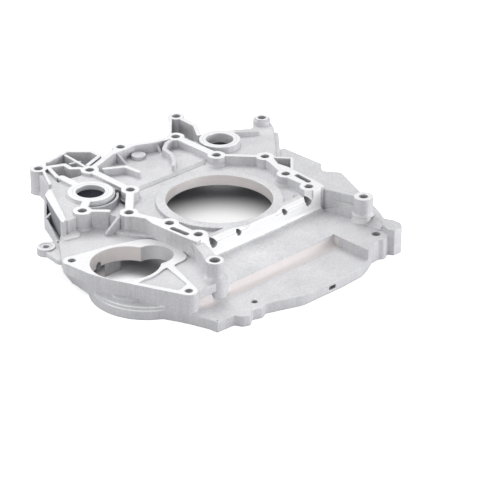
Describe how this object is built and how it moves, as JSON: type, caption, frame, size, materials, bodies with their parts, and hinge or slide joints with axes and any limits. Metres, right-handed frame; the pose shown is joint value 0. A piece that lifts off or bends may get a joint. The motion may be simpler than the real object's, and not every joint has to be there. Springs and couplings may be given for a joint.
{
  "type": "rear engine cover",
  "caption": "Die-cast aluminium cover for the back of a V engine, with a crankshaft seal bore, bearing bores, starter opening and oil-pan face.",
  "frame": {"origin": "on the crankshaft axis, half way down the seal bore", "axes": "+Z along the crankshaft, towards the engine block; -Y towards the oil pan; +X to the right seen from the engine block's side"},
  "size_m": [0.346, 0.3372, 0.0455],
  "materials": {
    "cast_aluminium": "as-cast satin, with bright machined faces"
  },
  "bodies": {
    "root": {"cover_casting": "cast_aluminium"}
  },
  "joints": []
}
